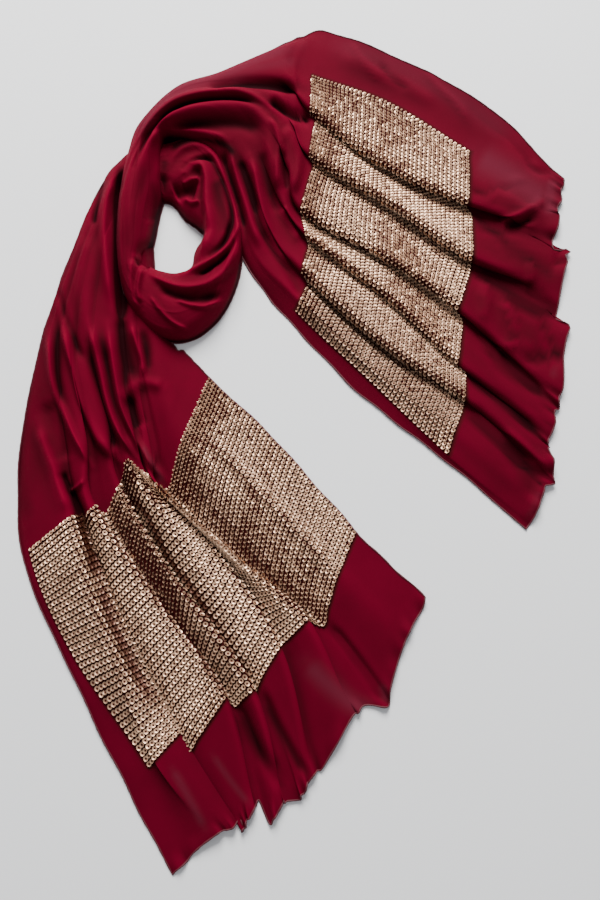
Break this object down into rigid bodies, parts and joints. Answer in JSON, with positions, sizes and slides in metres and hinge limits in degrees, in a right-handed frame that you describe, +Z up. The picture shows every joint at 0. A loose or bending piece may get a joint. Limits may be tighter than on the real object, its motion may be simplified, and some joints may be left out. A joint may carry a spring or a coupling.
{
  "type": "hijab scarf laid out in a loop",
  "caption": "Long thin headscarf laid flat in a loop, its gathered middle crossing over itself and its ends opened into pleats with wide bands of sequins.",
  "frame": {"origin": "on the surface, under the middle of the laid scarf", "axes": "+Z up from the surface, +Y along the laid scarf's greatest extent, away from the near hem, +X towards the far hem"},
  "size_m": [0.647, 1, 0.0493],
  "materials": {
    "georgette": "matt woven georgette, slightly sheer",
    "sequins": "metallised champagne sequins, sewn in rows"
  },
  "bodies": {
    "root": {"under_strand": "georgette", "end_a_fan": "georgette", "neck_loop": "georgette", "over_arc": "georgette", "end_b_fan": "georgette", "sequin_band_a": "sequins", "sequin_band_b": "sequins"}
  },
  "joints": []
}
